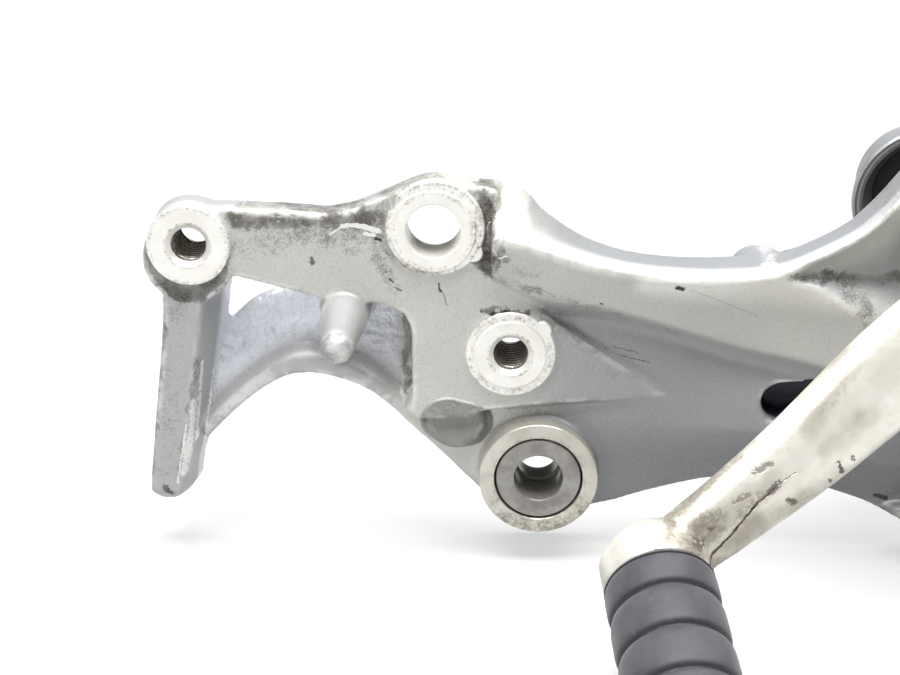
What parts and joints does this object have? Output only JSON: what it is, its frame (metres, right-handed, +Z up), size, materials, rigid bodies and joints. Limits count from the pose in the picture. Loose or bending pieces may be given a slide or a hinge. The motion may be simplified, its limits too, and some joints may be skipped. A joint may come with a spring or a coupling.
{
  "type": "motorcycle footrest hanger",
  "caption": "Left rider footrest hanger of a motorcycle: cast bracket with machined frame bosses, gear lever with ribbed toe rubber and a folding footpeg.",
  "frame": {"origin": "centre of the outer face of the plain frame bolt hole", "axes": "+X towards the rear of the machine, +Y inwards to the machine's frame along the bolt holes, +Z up as the hanger was pictured"},
  "size_m": [0.2666, 0.1915, 0.1351],
  "materials": {
    "cast_silver": "silver-painted casting, worn, with bare machined faces",
    "polished_cast": "polished and clear-coated casting, scratched",
    "forged_alloy": "satin forging",
    "plain_steel": "plain steel, dulled",
    "zinc_steel": "zinc plated",
    "spring_steel": "dark spring steel",
    "bronze": "sintered bronze",
    "black_rubber": "matt",
    "grey_rubber": "matt, dusty"
  },
  "bodies": {
    "hanger": {"hanger": "cast_silver", "lower_grommet": "black_rubber", "lower_collar_outer": "plain_steel", "lower_collar_inner": "plain_steel", "cup_grommet": "black_rubber", "cup_sleeve": "plain_steel", "pivot_washer": "plain_steel", "wave_washer": "spring_steel", "step_holder": "forged_alloy", "step_bolt": "zinc_steel", "step_bolt_washer": "zinc_steel", "step_dowel": "plain_steel", "clevis_pin": "zinc_steel", "pin_washer": "zinc_steel", "pin_clip": "spring_steel", "return_spring": "spring_steel"},
    "lever": {"gear_lever": "polished_cast", "lever_bush": "bronze", "dust_seals": "black_rubber", "toe_rubber": "grey_rubber", "linkage_stud": "zinc_steel", "linkage_nut": "zinc_steel"},
    "peg": {"footpeg": "forged_alloy", "footpeg_rubber": "grey_rubber", "rubber_screws": "zinc_steel", "feeler_bolt": "zinc_steel"}
  },
  "joints": [
    {"name": "gear_lever_pivot", "type": "hinge", "parent": "hanger", "child": "lever", "pos_m": [0.165, -0.0135, 0.008], "axis": [0, 1, 0], "range_deg": [-12, 12]},
    {"name": "footpeg_fold", "type": "hinge", "parent": "hanger", "child": "peg", "pos_m": [0.165, -0.05, 0.008], "axis": [-1, 0, 0], "range_deg": [0, 88], "stiffness_Nm_per_rad": 0.25, "springref_deg": -28.65}
  ]
}
